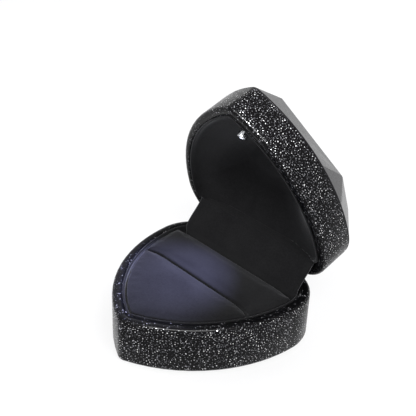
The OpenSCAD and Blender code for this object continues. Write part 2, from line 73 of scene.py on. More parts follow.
def node(tree, kind, **values):
    """A node; values with a leading underscore are properties, the rest are inputs."""
    n = tree.nodes.new(kind)
    for name, value in values.items():
        if name.startswith("_"):
            setattr(n, name[1:], value)
        elif isinstance(value, bpy.types.NodeSocket):
            tree.links.new(value, n.inputs[name.replace("_", " ")])
        else:
            n.inputs[name.replace("_", " ")].default_value = value
    return n


def math_node(tree, operation, a, b=None, c=None, clamp=False):
    """A Math node; a, b and c are sockets or numbers. Returns its output."""
    n = tree.nodes.new("ShaderNodeMath")
    n.operation = operation
    n.use_clamp = clamp
    for i, value in enumerate((a, b, c)):
        if isinstance(value, bpy.types.NodeSocket):
            tree.links.new(value, n.inputs[i])
        elif value is not None:
            n.inputs[i].default_value = value
    return n.outputs[0]


def seen_directly(tree):
    """1 for rays from the camera, in a mirror or through glass, 0 for light on the object."""
    path = node(tree, "ShaderNodeLightPath")
    both = math_node(tree, "MAXIMUM", path.outputs["Is Camera Ray"], path.outputs["Is Glossy Ray"])
    return math_node(tree, "MAXIMUM", both, path.outputs["Is Transmission Ray"])


world = bpy.data.worlds.new("studio")
world.use_nodes = True
bpy.context.scene.world = world
tree = world.node_tree
tree.nodes.clear()
dim = node(tree, "ShaderNodeBackground", Color=(0.95, 0.96, 1, 1), Strength=0.5)
white = node(tree, "ShaderNodeBackground", Color=(1, 1, 1, 1), Strength=1)
mix = node(tree, "ShaderNodeMixShader", Fac=seen_directly(tree))
tree.links.new(dim.outputs[0], mix.inputs[1])
tree.links.new(white.outputs[0], mix.inputs[2])
tree.links.new(mix.outputs[0], node(tree, "ShaderNodeOutputWorld").inputs[0])
bpy.context.scene.view_settings.view_transform = "Standard"


def aimed(place, target):
    """Where a lamp stands that looks from a place to a target."""
    turn = (Vector(target) - Vector(place)).to_track_quat("-Z", "Y")
    return Matrix.Translation(place) @ turn.to_matrix().to_4x4()


def soft_lamp(name, place, size, power):
    """A square soft lamp at a place, turned towards the box and unseen in reflections."""
    light = bpy.data.lights.new(name, "AREA")
    light.size = size
    light.energy = power
    obj = bpy.data.objects.new(name, light)
    obj.matrix_world = aimed(place, (0, 0, 0.035))
    obj.visible_glossy = False
    bpy.context.collection.objects.link(obj)
    return obj


soft_lamp("key_lamp", (0.35, -0.15, 0.45), 0.30, 2.8)
soft_lamp("fill_lamp", (-0.40, -0.30, 0.35), 0.35, 1.8)
soft_lamp("back_lamp", (-0.10, 0.45, 0.40), 0.30, 1.4)
# A strip seen only as a reflection: it draws the thin bright line along the base's rounded rim
strip = soft_lamp("line_lamp", (0.18, -0.22, 0.48), 0.34, 7.6)
strip.data.shape = "RECTANGLE"
strip.data.size_y = 0.12
strip.visible_glossy = True
strip.visible_diffuse = False

bpy.ops.mesh.primitive_plane_add(size=8, location=(0, 0, -0.0001))
table = bpy.context.object
table.name = "table"
paper = bpy.data.materials.new("table_paper")
paper.use_nodes = True
tree = paper.node_tree
tree.nodes.clear()
lit = node(tree, "ShaderNodeBsdfDiffuse", Color=(0.86, 0.86, 0.87, 1))
bright = node(tree, "ShaderNodeEmission", Color=(1, 1, 1, 1), Strength=1.0)
mix = node(tree, "ShaderNodeMixShader", Fac=math_node(tree, "MULTIPLY", seen_directly(tree), 0.8))
tree.links.new(lit.outputs[0], mix.inputs[1])
tree.links.new(bright.outputs[0], mix.inputs[2])
tree.links.new(mix.outputs[0], node(tree, "ShaderNodeOutputMaterial").inputs[0])
table.data.materials.append(paper)

# ---- Base cup and lid band ----
# Two moulded plastic rings of the same heart shape with rounded rims. Both are sprayed in
# black lacquer full of fine silver flakes.
# All sizes are in millimetres, and lid pieces are drawn shut and then swung open.
heart_length, lobe_r, lobe_x, tip_r, flank_r, cleft_depth = 64, 16, 17.2, 3.5, 53, 6
base_h, rim_r, base_wall = 17.2, 1.2, 3.4
lid_rim_z, band_h, lid_wall, liner_t = 17.8, 12.3, 3.0, 0.8
hinge_y, hinge_z, open_angle = 31.0, 17.5, 72.5
girdle_z = lid_rim_z + band_h

cleft_y = heart_length / 2 - cleft_depth
lobe_c = np.array((lobe_x, heart_length / 2 - lobe_r))
tip_c = np.array((0, tip_r - heart_length / 2))
cleft_r = (lobe_x**2 + (cleft_y - lobe_c[1])**2 - lobe_r**2) / (2 * (lobe_r - cleft_y + lobe_c[1]))
cleft_c = np.array((0, cleft_y + cleft_r))
to_lobe = lobe_c - tip_c
span = np.linalg.norm(to_lobe)
along = ((flank_r - tip_r)**2 - (flank_r - lobe_r)**2 + span**2) / (2 * span)
across = math.sqrt((flank_r - tip_r)**2 - along**2)
flank_c = tip_c + (along * to_lobe + across * np.array((-to_lobe[1], to_lobe[0]))) / span


def heading(v):
    """The angle of a direction seen from above."""
    return math.atan2(v[1], v[0])


def arc(c, r, a, b, n):
    """n steps of an arc about c, without its end."""
    turns = a + (b - a) * np.arange(n) / n
    return np.column_stack((c[0] + r * np.cos(turns), c[1] + r * np.sin(turns)))


def tip_centre(inset, r):
    """Centre of a tip arc of radius r on the outline that lies inset inside the outer one."""
    return np.array((0, flank_c[1] - math.sqrt((flank_r - inset - r)**2 - flank_c[0]**2)))


def mirrored(half):
    """A right half with its left half, anticlockwise; the middle points are kept once."""
    return np.vstack((half, (half[1:-1] * (-1, 1))[::-1]))


def heart(inset=0.0, tip=tip_r, steps=(6, 40, 50, 12)):
    """The whole outline from the tip, inset inside the outer one."""
    tc = tip_centre(inset, tip)
    turn, lobe_start = heading(tc - flank_c), heading(lobe_c - flank_c)
    lobe_end = heading(cleft_c - lobe_c)
    half = np.vstack((
        arc(tc, tip, -math.pi / 2, turn, steps[0]),
        arc(flank_c, flank_r - inset, turn, lobe_start, steps[1]),
        arc(lobe_c, lobe_r - inset, lobe_start, lobe_end, steps[2]),
        arc(cleft_c, cleft_r + inset, lobe_end - math.pi, -math.pi / 2, steps[3]),
        ((0, cleft_y - inset),)))
    return mirrored(half)


def raised(points, z):
    """Points of a flat outline at one height."""
    return np.column_stack((points, np.full(len(points), z)))


def loft_faces(rows, n, closed=True, capped=False):
    """Quads between rows of n points; a cap is one face on the first and on the last row."""
    faces = [(i * n + j, i * n + (j + 1) % n, (i + 1) * n + (j + 1) % n, (i + 1) * n + j)
             for i in range(rows - 1) for j in range(n if closed else n - 1)]
    if capped:
        faces += [tuple(range(n))[::-1], tuple(range((rows - 1) * n, rows * n))]
    return faces


open_lid = (Matrix.Translation((0, hinge_y, hinge_z)) @ Matrix.Rotation(math.radians(-open_angle), 4, "X")
            @ Matrix.Translation((0, -hinge_y, -hinge_z)))
open_lid_metres = Matrix.Scale(MM, 4) @ open_lid @ Matrix.Scale(1 / MM, 4)


@contextmanager
def edited(mesh):
    """A mesh as a bmesh that is written back at the end."""
    work = bmesh.new()
    work.from_mesh(mesh)
    yield work
    work.to_mesh(mesh)
    work.free()


def shade(mesh, angle):
    """Smooth shading, but for edges sharper than an angle in degrees."""
    mesh.shade_smooth()
    mesh.set_sharp_from_angle(angle=math.radians(angle))


def dress(mesh, material):
    """Leave a mesh with one material."""
    mesh.materials.clear()
    mesh.materials.append(material)


def placed(name, mesh):
    """An object in the scene with a given mesh."""
    piece = bpy.data.objects.new(name, mesh)
    bpy.context.collection.objects.link(piece)
    return piece


def new_piece(name, points, faces, material=None, place=None, sharp=40):
    """A smooth piece from points in millimetres, moved by place, its faces turned outwards."""
    mesh = bpy.data.meshes.new(name)
    mesh.from_pydata([Vector(p) for p in points], [], faces)
    mesh.transform(Matrix.Scale(MM, 4) @ (place or Matrix.Identity(4)))
    with edited(mesh) as work:
        bmesh.ops.remove_doubles(work, verts=work.verts, dist=1e-6)
        bmesh.ops.recalc_face_normals(work, faces=work.faces)
    shade(mesh, sharp)
    if material:
        dress(mesh, material)
    return placed(name, mesh)


def smooth_copy(name, source, angle, material, shrink=0.0):
    """A CAD node's mesh with its corners merged and its curved faces shaded smooth."""
    mesh = nodes[source].data.copy()
    mesh.name = name
    with edited(mesh) as work:
        bmesh.ops.remove_doubles(work, verts=work.verts, dist=1e-6)
        work.normal_update()
        if shrink:
            for v, place in [(v, v.co - v.normal * shrink) for v in work.verts]:
                v.co = place
    shade(mesh, angle)
    dress(mesh, material)
    return placed(name, mesh)


def thicken(piece, wall, side):
    """Give a surface a wall in millimetres, in front of its faces (1) or behind them (-1)."""
    modifier = piece.modifiers.new("wall", "SOLIDIFY")
    modifier.thickness, modifier.offset = wall * MM, side


def settled(piece):
    """Turn what the modifiers make of a piece into its plain mesh."""
    bpy.context.view_layer.update()
    final = bpy.data.meshes.new_from_object(piece.evaluated_get(bpy.context.evaluated_depsgraph_get()))
    final.name = piece.name
    piece.modifiers.clear()
    piece.data = final
    return piece


def add_piece(piece, body, slot, *replaced):
    """Ride on a body and stand for CAD nodes, which it hides; the slot is not used."""
    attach(piece, body)
    if replaced:
        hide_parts(*replaced)
    return piece


def new_group(name, inputs, outputs):
    """An empty shader group with named sockets; returns the group and its two ends."""
    group = bpy.data.node_groups.new(name, "ShaderNodeTree")
    for direction, sockets in (("INPUT", inputs), ("OUTPUT", outputs)):
        for label, kind, *value in sockets:
            s = group.interface.new_socket(name=label, in_out=direction, socket_type=kind)
            if value:
                s.default_value = value[0]
    return group, group.nodes.new("NodeGroupInput"), group.nodes.new("NodeGroupOutput")


def new_material(name):
    """A material with a Principled shader; returns the material, its tree and the shader."""
    material = bpy.data.materials.new(name)
    material.use_nodes = True
    return material, material.node_tree, material.node_tree.nodes["Principled BSDF"]


def placed_group(tree, group, **values):
    """A group placed in a material with its own values."""
    n = tree.nodes.new("ShaderNodeGroup")
    n.node_tree = group
    for name, value in values.items():
        n.inputs[name.replace("_", " ")].default_value = value
    return n


def blend_colours(tree, share, a, b):
    """Colour a where share is 0 and b where it is 1; each is a socket or a colour."""
    n = node(tree, "ShaderNodeMix", _data_type="RGBA")
    for socket, value in ((n.inputs[0], share), (n.inputs[6], a), (n.inputs[7], b)):
        if isinstance(value, bpy.types.NodeSocket):
            tree.links.new(value, socket)
        else:
            socket.default_value = (*value, 1) if isinstance(value, tuple) else value
    return n.outputs[2]


def ramp(tree, source, stops):
    """A colour ramp from a 0 to 1 socket; stops are (position, colour)."""
    n = tree.nodes.new("ShaderNodeValToRGB")
    tree.links.new(source, n.inputs[0])
    while len(n.color_ramp.elements) < len(stops):
        n.color_ramp.elements.new(0.5)
    for element, (position, colour) in zip(n.color_ramp.elements, stops):
        element.position = position
        element.color = (*colour, 1)
    return n.outputs[0]


# Fine flecks under the lacquer's skin: one in each cell, of random size and brightness. The flecks are real silver,
# but their random brightness is painted glint.
glitter_flecks, given, result = new_group(
    "glitter_flecks",
    [("Cells per metre", "NodeSocketFloat", 2100), ("Cover", "NodeSocketFloat", 0.7)],
    [("Mask", "NodeSocketFloat"), ("Shade", "NodeSocketFloat")])
place = node(glitter_flecks, "ShaderNodeTexCoord")
cells = node(glitter_flecks, "ShaderNodeTexVoronoi", Vector=place.outputs["Object"], Randomness=1.0,
             Scale=given.outputs["Cells per metre"])
dice = node(glitter_flecks, "ShaderNodeSeparateColor", Color=cells.outputs["Color"])
here = math_node(glitter_flecks, "LESS_THAN", dice.outputs[0], given.outputs["Cover"])
size = math_node(glitter_flecks, "MULTIPLY_ADD", dice.outputs[1], 0.25, 0.3)
depth = math_node(glitter_flecks, "SUBTRACT", size, cells.outputs["Distance"])
disc = math_node(glitter_flecks, "MULTIPLY", depth, 14, clamp=True)
glitter_flecks.links.new(math_node(glitter_flecks, "MULTIPLY", disc, here), result.inputs["Mask"])
glitter_flecks.links.new(math_node(glitter_flecks, "POWER", dice.outputs[2], 2.2), result.inputs["Shade"])

glitter_lacquer, tree, shader = new_material("glitter_lacquer")
layers = (0.0015, 0.0015, 0.0018)
for cells_per_metre, cover in ((3400, 0.4), (2100, 0.35)):
    flecks = placed_group(tree, glitter_flecks, Cells_per_metre=cells_per_metre, Cover=cover)
    # The flecks' colour runs from black to light grey: painted glint on the silver flecks
    silver_glint = ramp(tree, flecks.outputs["Shade"],
                  [(0, (0.003, 0.003, 0.0035)), (0.4, (0.012, 0.012, 0.014)), (1, (0.32, 0.32, 0.34))])
    layers = blend_colours(tree, flecks.outputs["Mask"], layers, silver_glint)
tree.links.new(layers, shader.inputs["Base Color"])
shader.inputs["Specular IOR Level"].default_value = 0.05
shader.inputs["Roughness"].default_value = 0.35
shader.inputs["Coat Weight"].default_value = 0.25
shader.inputs["Coat IOR"].default_value = 1.27
shader.inputs["Coat Roughness"].default_value = 0.06

# Real silver flakes, each coloured from near black to white by its own random value: painted glint
silver_flake, tree, shader = new_material("silver_flake")
flake_glint = node(tree, "ShaderNodeAttribute", _attribute_name="shade")
silver_glint = ramp(tree, flake_glint.outputs["Fac"],
              [(0, (0.02, 0.02, 0.022)), (0.4, (0.10, 0.10, 0.11)), (0.75, (0.55, 0.55, 0.57)), (1, (1, 1, 1))])
tree.links.new(silver_glint, shader.inputs["Base Color"])
shader.inputs["Metallic"].default_value = 0.7
shader.inputs["Roughness"].default_value = 0.35

# Flakes at the lacquer's surface: small hexagons, evenly strewn, each a little tilted
flake_scatter = bpy.data.node_groups.new("flake_scatter", "GeometryNodeTree")
for label, kind, value in (("Surface", "NodeSocketGeometry", None), ("Spacing", "NodeSocketFloat", 0.0006),
                           ("Flake radius", "NodeSocketFloat", 0.0002), ("Tilt", "NodeSocketFloat", 0.25),
                           ("Seed", "NodeSocketInt", 1), ("Finish", "NodeSocketMaterial", None)):
    socket = flake_scatter.interface.new_socket(name=label, in_out="INPUT", socket_type=kind)
    if value is not None:
        socket.default_value = value
flake_scatter.interface.new_socket(name="Flakes", in_out="OUTPUT", socket_type="NodeSocketGeometry")
given, result = flake_scatter.nodes.new("NodeGroupInput"), flake_scatter.nodes.new("NodeGroupOutput")
link = flake_scatter.links.new
strewn = node(flake_scatter, "GeometryNodeDistributePointsOnFaces", _distribute_method="POISSON")
strewn.inputs["Density Max"].default_value = 6e6
link(given.outputs["Surface"], strewn.inputs["Mesh"])
link(given.outputs["Spacing"], strewn.inputs["Distance Min"])
link(given.outputs["Seed"], strewn.inputs["Seed"])
flake = node(flake_scatter, "GeometryNodeMeshCircle", _fill_type="NGON", Vertices=6,
             Radius=given.outputs["Flake radius"])
size = node(flake_scatter, "FunctionNodeRandomValue", _data_type="FLOAT")
smallest, largest = 0.55, 1.15
size.inputs[2].default_value, size.inputs[3].default_value = smallest, largest
size.inputs["Seed"].default_value = 3
copies = node(flake_scatter, "GeometryNodeInstanceOnPoints", Points=strewn.outputs["Points"],
              Instance=flake.outputs["Mesh"], Rotation=strewn.outputs["Rotation"])
link(size.outputs[1], copies.inputs["Scale"])
lean = node(flake_scatter, "FunctionNodeRandomValue", _data_type="FLOAT_VECTOR")
lean.inputs[0].default_value, lean.inputs[1].default_value = (-1, -1, -8), (1, 1, 8)
lean.inputs["Seed"].default_value = 5
turn = node(flake_scatter, "ShaderNodeVectorMath", _operation="SCALE", Scale=given.outputs["Tilt"])
link(lean.outputs[0], turn.inputs[0])
tilted = node(flake_scatter, "GeometryNodeRotateInstances", Instances=copies.outputs[0])
link(turn.outputs[0], tilted.inputs["Rotation"])
# A random value for each flake, kept as its shade, sets how bright it reads: painted glint
glint_tone = node(flake_scatter, "FunctionNodeRandomValue", _data_type="FLOAT")
glint_tone.inputs["Seed"].default_value = 7
kept = node(flake_scatter, "GeometryNodeStoreNamedAttribute", _data_type="FLOAT", _domain="INSTANCE",
            Geometry=tilted.outputs[0], Name="shade")
link(glint_tone.outputs[1], kept.inputs["Value"])
real = node(flake_scatter, "GeometryNodeRealizeInstances", Geometry=kept.outputs[0])
finished = node(flake_scatter, "GeometryNodeSetMaterial", Geometry=real.outputs[0],
                Material=given.outputs["Finish"])
link(finished.outputs[0], result.inputs[0])


def grown(piece, tree, **values):
    """Give a piece a Geometry Nodes tree with its inputs by name, and keep what it makes."""
    modifier = piece.modifiers.new(tree.name, "NODES")
    modifier.node_group = tree
    for item in tree.interface.items_tree:
        key = item.name.replace(" ", "_")
        if item.in_out == "INPUT" and key in values:
            modifier[item.identifier] = values[key]
    return settled(piece)


def round_edge(r, z, n=6):
    """Quarter round from the side up to height z: pairs of inset and height."""
    turns = [math.pi / 2 * i / n for i in range(n + 1)]
    return [(r - r * math.cos(a), z - r + r * math.sin(a)) for a in turns]


def lacquered_skin(name, edge, place=None):
    """The sprayed side and rim of a heart shaped ring, to strew flakes on."""
    rings = [raised(heart(inset, tip_r - inset), z) for inset, z in edge]
    skin = new_piece(name, np.vstack(rings), loft_faces(len(rings), len(rings[0])), place=place)
    sides = [p for p in skin.data.polygons if abs(p.normal.z) < 0.5]
    if sum(p.normal.dot(Vector((*p.center[:2], 0))) for p in sides) < 0:
        skin.data.flip_normals()
    return skin


# Cup and band lie a hair deeper than the flakes. Flakes reach half way round each rim.
flake_depth = 0.012 * MM
for name, source, body in (("base_cup", "base_shell", "base"), ("lid_band", "lid_shell", "lid")):
    add_piece(smooth_copy(name, source, 25, glitter_lacquer, flake_depth), body, "glitter_lacquer", source)
rim = round_edge(rim_r, base_h)[:4]
base_edge = [(0, 1.4), (0, 8)] + rim
band_edge = [(0, girdle_z - 0.4), (0, 2 * hinge_z - 11)] + [(inset, 2 * hinge_z - z) for inset, z in rim]
for name, body, edge, place, spacing, seed in (("base_flakes", "base", base_edge, None, 0.00078, 11),
                                               ("lid_flakes", "lid", band_edge, open_lid, 0.00072, 23)):
    skin = lacquered_skin(name, edge, place)
    grown(skin, flake_scatter, Spacing=spacing, Flake_radius=0.00018, Tilt=0.2, Seed=seed, Finish=silver_flake)
    add_piece(skin, body, "glitter_lacquer")

# ---- Crown ----
# The lid's top is cut in large flat facets like a stone. It is the same plastic in a smooth
# high gloss, without glitter, and is glued onto the band.
grain, given, result = new_group(
    "grain",
    [("Scale", "NodeSocketFloat", 1000), ("Stretch", "NodeSocketVector", (1, 1, 1))],
    [("Value", "NodeSocketFloat"), ("Height", "NodeSocketFloat")])
place = node(grain, "ShaderNodeTexCoord")
stretched = node(grain, "ShaderNodeVectorMath", _operation="MULTIPLY")
grain.links.new(place.outputs["Object"], stretched.inputs[0])
grain.links.new(given.outputs["Stretch"], stretched.inputs[1])
noise = node(grain, "ShaderNodeTexNoise", Vector=stretched.outputs[0], Scale=given.outputs["Scale"], Detail=3)
cloudy = node(grain, "ShaderNodeTexNoise", Vector=place.outputs["Object"], Scale=90, Detail=2)
both = math_node(grain, "ADD", noise.outputs["Fac"], cloudy.outputs["Fac"])
spread = math_node(grain, "MULTIPLY_ADD", math_node(grain, "SUBTRACT", both, 1), 1.6, 0.5, clamp=True)
grain.links.new(spread, result.inputs["Value"])
grain.links.new(noise.outputs["Fac"], result.inputs["Height"])


def grained(name, light, dark, rough, scale, stretch=(1, 1, 1), bump=0.1, metal=0.0):
    """A material whose colour and roughness run between two values along a fine grain."""
    material, tree, shader = new_material(name)
    g = placed_group(tree, grain, Scale=scale, Stretch=stretch)
    tree.links.new(blend_colours(tree, g.outputs["Value"], dark, light), shader.inputs["Base Color"])
    roughness = math_node(tree, "MULTIPLY_ADD", g.outputs["Value"], rough[1] - rough[0], rough[0])
    tree.links.new(roughness, shader.inputs["Roughness"])
    relief = node(tree, "ShaderNodeBump", Strength=bump, Distance=0.02 * MM, Height=g.outputs["Height"])
    tree.links.new(relief.outputs[0], shader.inputs["Normal"])
    shader.inputs["Metallic"].default_value = metal
    return material


black_gloss = grained("black_gloss", (0.016, 0.016, 0.018), (0.009, 0.009, 0.010), (0.22, 0.34), 700, bump=0.05)
shader = black_gloss.node_tree.nodes["Principled BSDF"]
shader.inputs["Specular IOR Level"].default_value = 0.05
shader.inputs["Coat Weight"].default_value = 0.35
shader.inputs["Coat Roughness"].default_value = 0.1
crown_h, crown_wall, ridge_w, table_step = 10.5, 1.8, 0.12, 0.4
table_z = girdle_z + crown_h
# The table is the flat top. Its corners on the right half, from the tip to the cleft:
corners = np.array([(0, hinge_y - 52), (23.4, hinge_y - 29), (24.3, lobe_c[1] + 1),
                    (14.5, heart_length / 2 - 7), (0, cleft_y - 9)])


def beside(k, step):
    """A point a little off a corner of the table, towards one of its neighbours."""
    way = corners[k + step] - corners[k]
    return corners[k] + table_step * way / np.linalg.norm(way)


# The table's edges: a long one for each broad facet, a short one for each pointed facet
table_ends = [corners[0], beside(0, 1)] + [beside(k, step) for k in (1, 2, 3) for step in (-1, 1)] + [corners[4]]


def girdle_runs(inset):
    """The right half of the girdle in stretches, one under each facet."""
    tc = tip_centre(inset, tip_r - inset)
    turn, lobe_start, lobe_end = heading(tc - flank_c), heading(lobe_c - flank_c), heading(cleft_c - lobe_c)
    flank = [turn, math.radians(-32), math.radians(-16), lobe_start]
    lobe = [lobe_start, math.radians(35), math.radians(75), math.radians(105), lobe_end]
    runs = [arc(tc, tip_r - inset, -math.pi / 2, turn, 6)]
    runs += [arc(flank_c, flank_r - inset, a, b, n) for a, b, n in zip(flank, flank[1:], (20, 10, 10))]
    runs += [arc(lobe_c, lobe_r - inset, a, b, n) for a, b, n in zip(lobe, lobe[1:], (12, 12, 9, 9))]
    cleft = arc(cleft_c, cleft_r + inset, lobe_end - math.pi, -math.pi / 2, 8)
    runs[-1] = np.vstack((runs[-1], cleft, ((0, cleft_y - inset),)))
    return runs


low_ring, high_ring = (mirrored(np.vstack(girdle_runs(inset))) for inset in (0.45, 0.1))
table_ring = mirrored(np.array(table_ends))
n, m = len(low_ring), len(table_ring)
starts = np.cumsum([0] + [len(run) for run in girdle_runs(0.1)])
starts[-1] -= 1
# The glue edge, the table, then each facet on the right half and its mirror image on the left
faces = loft_faces(2, n) + [tuple(range(2 * n, 2 * n + m))]
for k in range(len(starts) - 1):
    under = list(range(starts[k], starts[k + 1] + 1))
    faces.append([n + i for i in under] + [2 * n + k + 1, 2 * n + k])
    faces.append([n + (n - i) % n for i in under[::-1]] + [2 * n + (m - k) % m, 2 * n + (m - k - 1) % m])
levels = raised(low_ring, girdle_z), raised(high_ring, girdle_z + 0.35), raised(table_ring, table_z)
crown = new_piece("faceted_crown", np.vstack(levels), faces, black_gloss, sharp=180)
if max(crown.data.polygons, key=lambda p: p.area).normal.z < 0:
    crown.data.flip_normals()
with edited(crown.data) as work:
    ridge = work.edges.layers.float.new("bevel_weight_edge")
    for edge in work.edges:
        edge[ridge] = float(any(v.co.z > (table_z - 0.01) * MM for v in edge.verts))
crown.data.transform(open_lid_metres)
thicken(crown, crown_wall, -1)
softer = crown.modifiers.new("softer", "BEVEL")
softer.limit_method, softer.width, softer.segments = "WEIGHT", ridge_w * MM, 2
# Hardened normals let each broad facet read as one plane down to the curved girdle
softer.harden_normals = True
settled(crown)
crown.data.shade_flat()
add_piece(crown, "lid", "black_gloss", "lid_crown")

# ---- Base lining and card ----
# A strip of card wrapped in velvet lines the wall and ends in a soft bead just above the rim.
# The pads stand on a second card that is slotted for the ring.
pile, given, result = new_group(
    "pile",
    [("Fibres per metre", "NodeSocketFloat", 9000), ("Cloudiness", "NodeSocketFloat", 0.5)],
    [("Shade", "NodeSocketFloat"), ("Height", "NodeSocketFloat")])
place = node(pile, "ShaderNodeTexCoord")
fibres = node(pile, "ShaderNodeTexNoise", Vector=place.outputs["Object"], Detail=2,
              Scale=given.outputs["Fibres per metre"])
tufts = node(pile, "ShaderNodeTexNoise", Vector=place.outputs["Object"], Scale=1500, Detail=3)
brushed = node(pile, "ShaderNodeTexNoise", Vector=place.outputs["Object"], Scale=70, Detail=4, Distortion=0.6)
lying = math_node(pile, "SUBTRACT", brushed.outputs["Fac"], 0.5)
clouds = math_node(pile, "MULTIPLY", math_node(pile, "MULTIPLY", lying, given.outputs["Cloudiness"]), 2)
both = math_node(pile, "ADD", tufts.outputs["Fac"], fibres.outputs["Fac"])
fine = math_node(pile, "MULTIPLY", both, 0.5)
nap = math_node(pile, "ADD", math_node(pile, "SUBTRACT", both, 0.5), clouds, clamp=True)
pile.links.new(nap, result.inputs["Shade"])
pile.links.new(fine, result.inputs["Height"])


def napped(name, light, dark, fibres, sheen, cloudiness=0.5, bump=0.4):
    """Velvet, felt or card: a matt pile whose colour goes with how the fibres lie."""
    material, tree, shader = new_material(name)
    p = placed_group(tree, pile, Fibres_per_metre=fibres, Cloudiness=cloudiness)
    tree.links.new(blend_colours(tree, p.outputs["Shade"], dark, light), shader.inputs["Base Color"])
    relief = node(tree, "ShaderNodeBump", Strength=bump, Distance=0.1 * MM, Height=p.outputs["Height"])
    tree.links.new(relief.outputs[0], shader.inputs["Normal"])
    shader.inputs["Roughness"].default_value = 0.95
    shader.inputs["Specular IOR Level"].default_value = 0.05
    shader.inputs["Sheen Weight"].default_value = sheen
    shader.inputs["Sheen Roughness"].default_value = 0.4
    shader.inputs["Sheen Tint"].default_value = (0.95, 0.96, 1, 1)
    return material


velvet = napped("velvet", (0.0125, 0.0125, 0.013), (0.004, 0.004, 0.0045), 9000, 0.18)
grey_board = napped("grey_board", (0.13, 0.13, 0.125), (0.08, 0.08, 0.078), 4000, 0.0, 0.3, 0.2)
floor_z, card_z, panel_y = 2.2, 3.2, 21.3


def side_x(y, inset):
    """The right hand side of the outline at a given y, along flank and lobe."""
    if y < lobe_c[1]:
        return flank_c[0] + math.sqrt((flank_r - inset)**2 - (y - flank_c[1])**2)
    return lobe_c[0] + math.sqrt((lobe_r - inset)**2 - (y - lobe_c[1])**2)


def right_side(inset, tip, end_y, n_tip=8, n_side=60):
    """From the tip along the right hand side up to a given y."""
    tc = tip_centre(inset, tip)
    turn = heading(tc - flank_c)
    start_y = tc[1] + tip * math.sin(turn)
    run = [(side_x(y, inset), y) for y in np.linspace(start_y, end_y, n_side)]
    return np.vstack((arc(tc, tip, -math.pi / 2, turn, n_tip), run))


def open_run(half):
    """A right half as one open course from back left over the tip to back right."""
    return np.vstack(((half[1:] * (-1, 1))[::-1], half))


def bead(inset, z, way):
    """The velvet's soft bead over a card's edge, up (1) or down (-1): pairs of inset and height."""
    bead_r, turns = 0.42, [math.radians(a) for a in range(20, 176, 16)]
    return [(inset + bead_r * (1 - math.cos(a)), z + way * bead_r * math.sin(a)) for a in turns]


outer, inner = base_wall + 0.05, base_wall + liner_t - 0.05
lining_edge = [(outer, floor_z), (outer, 10), (outer, base_h - 0.3)] + bead(base_wall + 0.03, base_h - 0.22, 1)
lining_edge += [(inner + 0.03, base_h - 0.5), (inner, 10), (inner, floor_z)]
lining_runs = [raised(open_run(right_side(p, 2 - p + base_wall, panel_y - 0.15)), z) for p, z in lining_edge]
lining = new_piece("base_lining", np.stack(lining_runs, axis=1).reshape(-1, 3),
                   loft_faces(len(lining_runs[0]), len(lining_edge), capped=True), velvet)
add_piece(lining, "base", "velvet", "base_liner")
dress(nodes["pad_card"].data, grey_board)

# ---- Pads ----
# Two pads of foam wrapped in black velvet, with a crisp turned edge and a slightly crowned
# top. They meet at a slot that grips the ring.
# The cloth is blown up at a larger scale, because Blender's cloth is made for bigger things.
slot_y, slot_w, pad_back_y, pad_inset = 2.3, 0.5, 19.0, base_wall + liner_t + 0.3
sewing_scale = 15
swell, weave = 0.22, 0.45


def slot_line(x):
    """The slot runs straight across and bends a little forwards at its ends."""
    return slot_y - 0.028 * max(0, abs(x) - 17.5)**2


def back_line(x):
    """The rear pad's back edge bends in the same way."""
    return pad_back_y - 0.007 * max(0, abs(x) - 17)**2


def meeting(line, inset, shift):
    """The y at which a line across, shifted by some distance, meets the side."""
    y = line(25) + shift
    for _ in range(12):
        y = line(side_x(y, inset)) + shift
    return y


def crossing(line, x, shift, n=90):
    """Points along a line across, from x to -x."""
    return np.array([(t, line(t) + shift) for t in np.linspace(x, -x, n)])


def front_outline(grow):
    """The front pad's outline, drawn in by some distance all round."""
    inset, shift = pad_inset + grow, -slot_w / 2 - grow
    half = right_side(inset, 1.5, meeting(slot_line, inset, shift))
    return np.vstack((half, crossing(slot_line, half[-1][0], shift)[1:-1], (half[1:] * (-1, 1))[::-1]))


def rear_outline(grow):
    """The rear pad's outline, drawn in by some distance all round."""
    inset = pad_inset + grow
    y0, y1 = meeting(slot_line, inset, slot_w / 2 + grow), meeting(back_line, inset, -grow)
    half = np.array([(side_x(y, inset), y) for y in np.linspace(y0, y1, 50)])
    return np.vstack((half, crossing(back_line, half[-1][0], -grow)[1:-1], (half * (-1, 1))[::-1],
                      crossing(slot_line, -half[0][0], slot_w / 2 + grow)[1:-1]))


# The pads' section: how far the outline is drawn in at each height
pad_edge = [(0.7, card_z), (0.25, card_z + 1.2), (0.1, card_z + 3), (0.1, base_h - 4), (0.1, base_h - 0.8),
            (0.13, base_h - 0.35), (0.26, base_h - 0.1), (0.5, base_h), (1.4, base_h + 0.1), (3, base_h + 0.18),
            (4.6, base_h + 0.26), (6.4, base_h + 0.3)]


